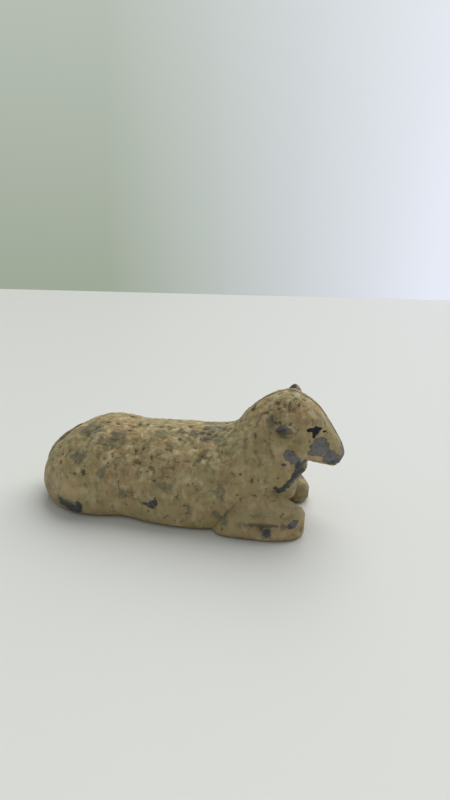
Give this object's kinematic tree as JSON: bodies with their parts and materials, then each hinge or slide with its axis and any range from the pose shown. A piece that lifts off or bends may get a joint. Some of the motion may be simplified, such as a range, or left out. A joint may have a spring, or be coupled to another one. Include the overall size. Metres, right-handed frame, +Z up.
{
  "type": "sheep figurine",
  "caption": "Hollow cast metal figurine of a lying sheep with raised head and folded forelegs, in worn cream paint over grey metal, for a toy farm or a crib scene.",
  "frame": {"origin": "middle of the sheep's length and width, on the table it lies on", "axes": "+X to the nose, +Y to the sheep's left, +Z up"},
  "size_m": [0.0575, 0.0252, 0.0242],
  "materials": {
    "aged_paint": "old cream paint, dull, mottled and chipped to grey metal",
    "bare_solder": "dull bare solder, darkened with age"
  },
  "bodies": {
    "root": {"right_half_shell": "aged_paint", "left_half_shell": "aged_paint", "right_foreleg": "aged_paint", "left_foreleg": "aged_paint", "right_ear": "aged_paint", "left_ear": "aged_paint", "tail": "aged_paint", "seam_solder": "bare_solder"}
  },
  "joints": []
}
